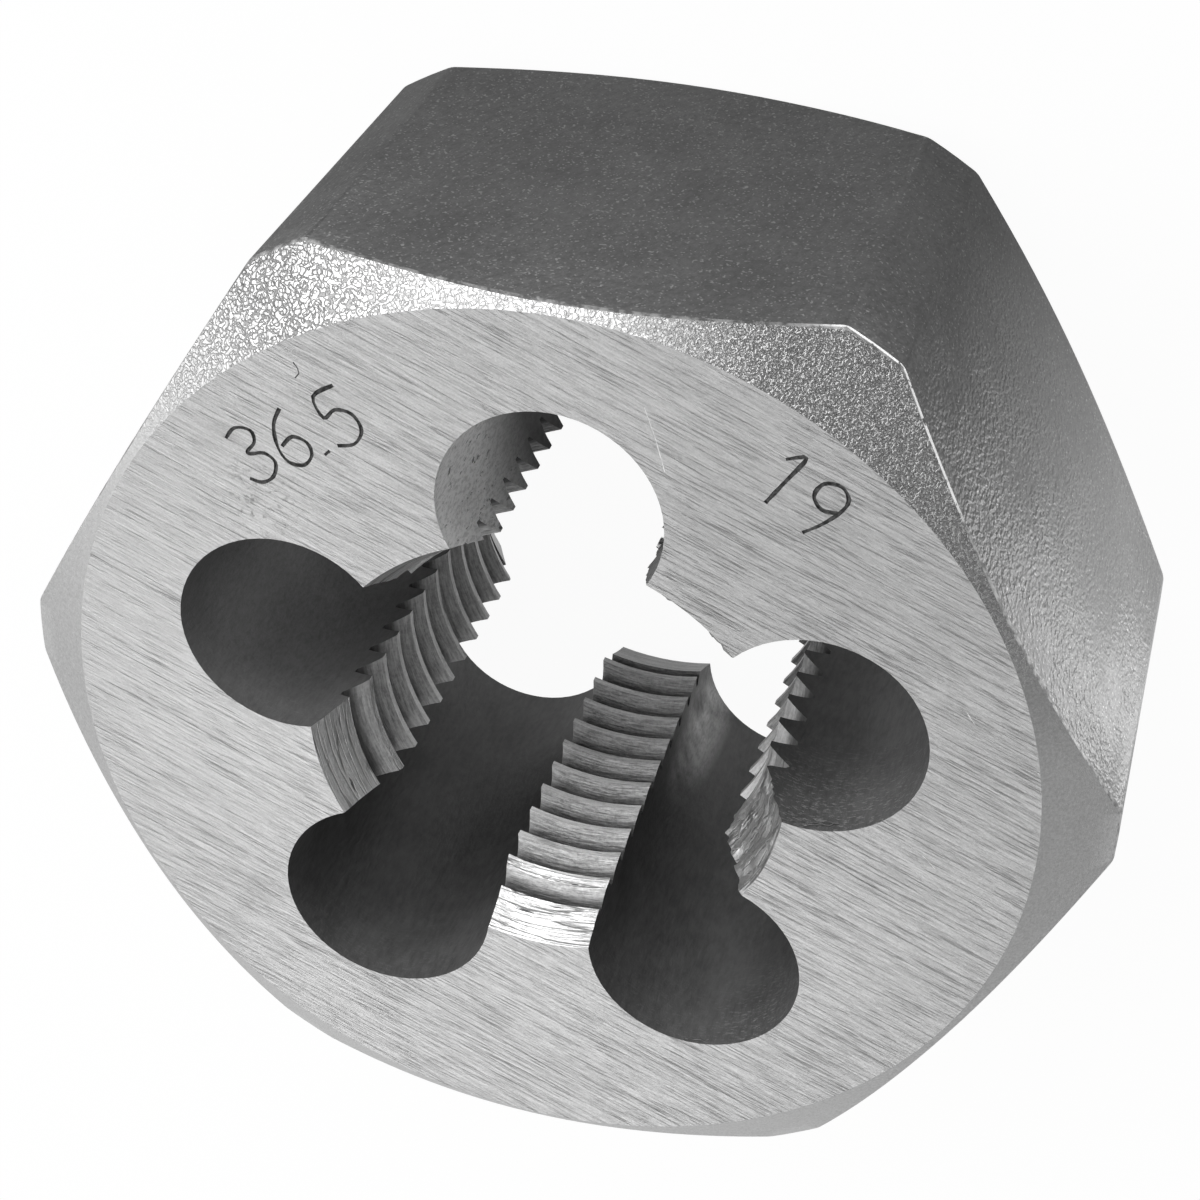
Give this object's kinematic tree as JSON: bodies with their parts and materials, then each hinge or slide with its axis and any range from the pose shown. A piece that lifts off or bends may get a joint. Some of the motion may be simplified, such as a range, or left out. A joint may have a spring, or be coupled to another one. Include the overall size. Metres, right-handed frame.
{
  "type": "hex rethreading die",
  "caption": "Hexagonal steel die with round chip flutes and right-hand threaded lands, turned with a spanner to chase damaged bolt threads.",
  "frame": {"origin": "centre of the back face, on the thread's axis; the die lies flat on that face", "axes": "+Z along the thread's axis towards the front face, +Y square to one pair of flats with one flute on it, +X through a pair of corners"},
  "size_m": [0.041, 0.0364, 0.0191],
  "materials": {
    "tool_steel": "ground end faces, blasted cones, dark hardened flats and flutes"
  },
  "bodies": {
    "root": {"die_body": "tool_steel"}
  },
  "joints": []
}
